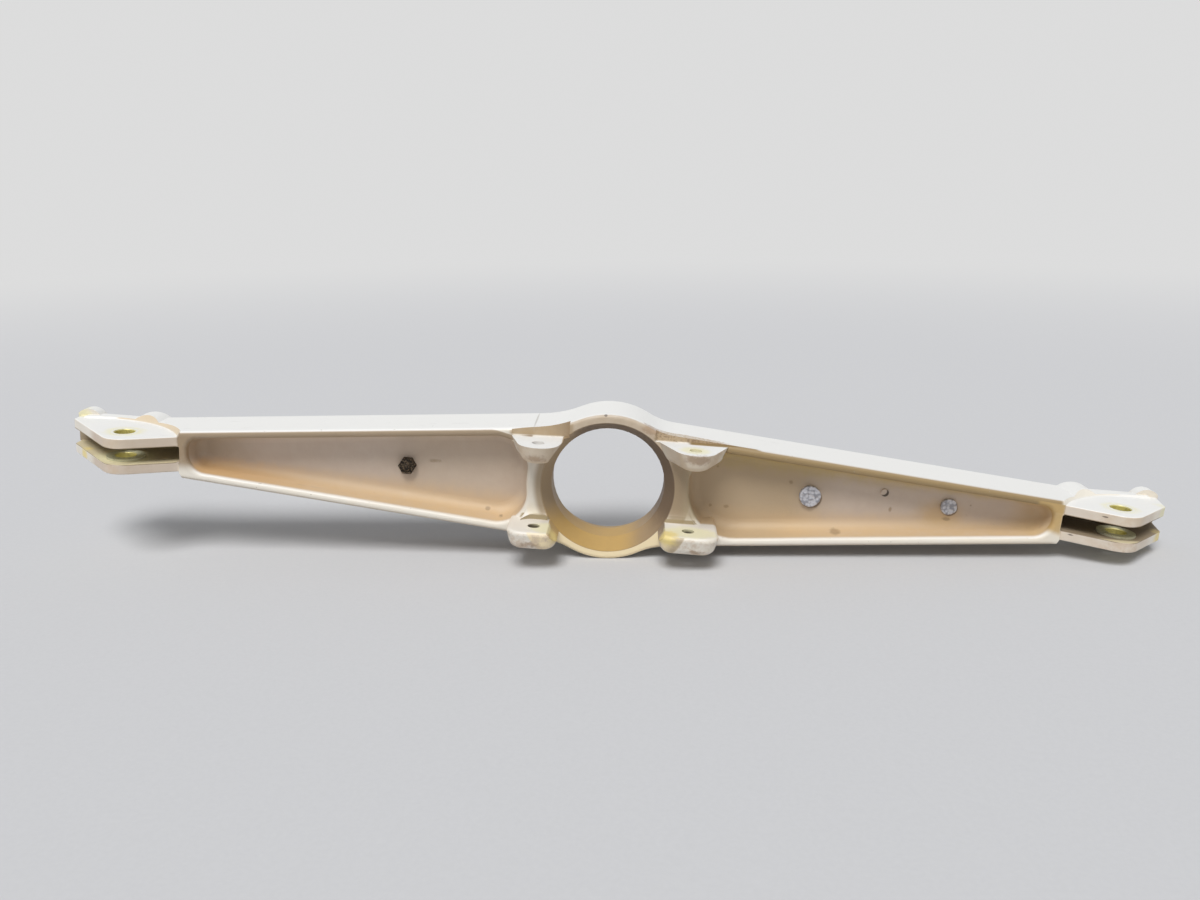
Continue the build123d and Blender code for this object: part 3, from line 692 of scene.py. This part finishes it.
print("thread has", len(thread.data.polygons), "faces, to y =", round(mm_per_m * thread_tip, 2))

# %% [markdown]
# The rivets' solids have plain rounded heads. The real ones were upset with a hammer and a bar, so they are
# wider, flat in front, steep at the side and dented all over. One head is made from a disc with a fine
# mesh, bevelled at its edge and dented by a Displace modifier. The other is a smaller copy of it.

# %% Hammered rivet heads
large_head = {"name": "large_rivet_head", "x": 114.3, "radius": 6.0, "height": 2.5}
small_head = {"name": "small_rivet_head", "x": 192.6, "radius": 4.6, "height": 2.1}
web_front_y = -2.3
head_corners = 48
bevel_width, bevel_steps = 0.0005, 4
ring_width, ring_count = 0.00062, 8
faces_front, front_disc = -0.9, -0.99
dent_size, dent_depth = 0.0021, 0.0006
second_turn = radians(130)

bpy.ops.object.select_all(action="DESELECT")
head_middle = to_metres(large_head["x"], web_front_y - large_head["height"] / 2, 0)
bpy.ops.mesh.primitive_cylinder_add(
    vertices=head_corners, radius=large_head["radius"] / mm_per_m, depth=large_head["height"] / mm_per_m,
    end_fill_type="NGON", location=head_middle, rotation=(pi / 2, 0, 0))
head = bpy.context.object
head.name = large_head["name"]
bpy.ops.object.transform_apply(location=True, rotation=True, scale=True)
bpy.ops.object.mode_set(mode="EDIT")
bpy.ops.mesh.select_mode(type="FACE")
bpy.ops.mesh.select_all(action="DESELECT")
bpy.ops.object.mode_set(mode="OBJECT")
for face in head.data.polygons:
    face.select = face.normal.y < faces_front
bpy.ops.object.mode_set(mode="EDIT")
bpy.ops.mesh.bevel(offset=bevel_width, segments=bevel_steps, affect="EDGES")
bpy.ops.object.mode_set(mode="OBJECT")
for face in head.data.polygons:
    face.select = face.normal.y < front_disc
bpy.ops.object.mode_set(mode="EDIT")
for ring in range(ring_count):
    bpy.ops.mesh.inset(thickness=ring_width)
bpy.ops.mesh.poke()
bpy.ops.mesh.select_all(action="SELECT")
bpy.ops.mesh.normals_make_consistent(inside=False)
bpy.ops.object.mode_set(mode="OBJECT")

hammer = bpy.data.textures.new("hammer_marks", "VORONOI")
hammer.noise_scale = dent_size
hammer.noise_intensity = 1.1
dented = head.modifiers.new("dents", "DISPLACE")
dented.texture = hammer
dented.texture_coords = "LOCAL"
dented.strength = dent_depth
dented.mid_level = 0.62
bpy.ops.object.modifier_apply(modifier="dents")
bpy.ops.object.shade_smooth_by_angle(angle=radians(50))
head.data.materials.append(bare.material)

second_head = head.copy()
second_head.data = head.data.copy()
second_head.name = small_head["name"]
bpy.context.collection.objects.link(second_head)
shrink = small_head["radius"] / large_head["radius"]
flatten = small_head["height"] / large_head["height"]
to_small = Matrix.Translation(to_metres(small_head["x"], web_front_y, 0))
from_large = Matrix.Translation(to_metres(-large_head["x"], -web_front_y, 0))
smaller = Matrix.Diagonal((shrink, flatten, shrink, 1))
second_head.data.transform(to_small @ Matrix.Rotation(second_turn, 4, "Y") @ smaller @ from_large)
for piece in (head, second_head):
    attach(piece, "root")
print("rivet heads:", head.name, second_head.name, "with", len(head.data.polygons), "faces each")

# %% [markdown]
# The floor is a plain pale sheet with the faintest tooth. Far from the brace it fades to the backdrop's
# own grey, so no horizon cuts across the picture.

# %% Floor paper
paper_low = (0.60, 0.60, 0.61)
paper_high = (0.64, 0.64, 0.65)
fade_start, fade_end = 650, 2300

paper = Surface("floor_paper", 0.9)
fibre = paper.noise(0.5, detail=3.0)
paper_colour = paper.mix(paper_low, paper_high, fibre)
paper.feed("Base Color", paper_colour)
paper.bump(fibre, 0.12, 0.4)
far_away = paper.length(paper.place).fade(fade_start, fade_end)
glow = paper.node("ShaderNodeEmission", {}, {"Color": backdrop_colour})
shader_output = Value(paper, paper.shader.outputs[0])
sheet = paper.node("ShaderNodeMixShader", {}, {0: far_away, 1: shader_output, 2: glow})
paper.tree.links.new(sheet.socket, paper.tree.nodes["Material Output"].inputs["Surface"])
floor.data.materials.append(paper.material)
print("floor fades to the backdrop between", fade_start / mm_per_m, "and", fade_end / mm_per_m, "m")

# %% [markdown]
# Last, colours are shown as they are written.

# %% Finish
bpy.context.scene.view_settings.view_transform = "Standard"
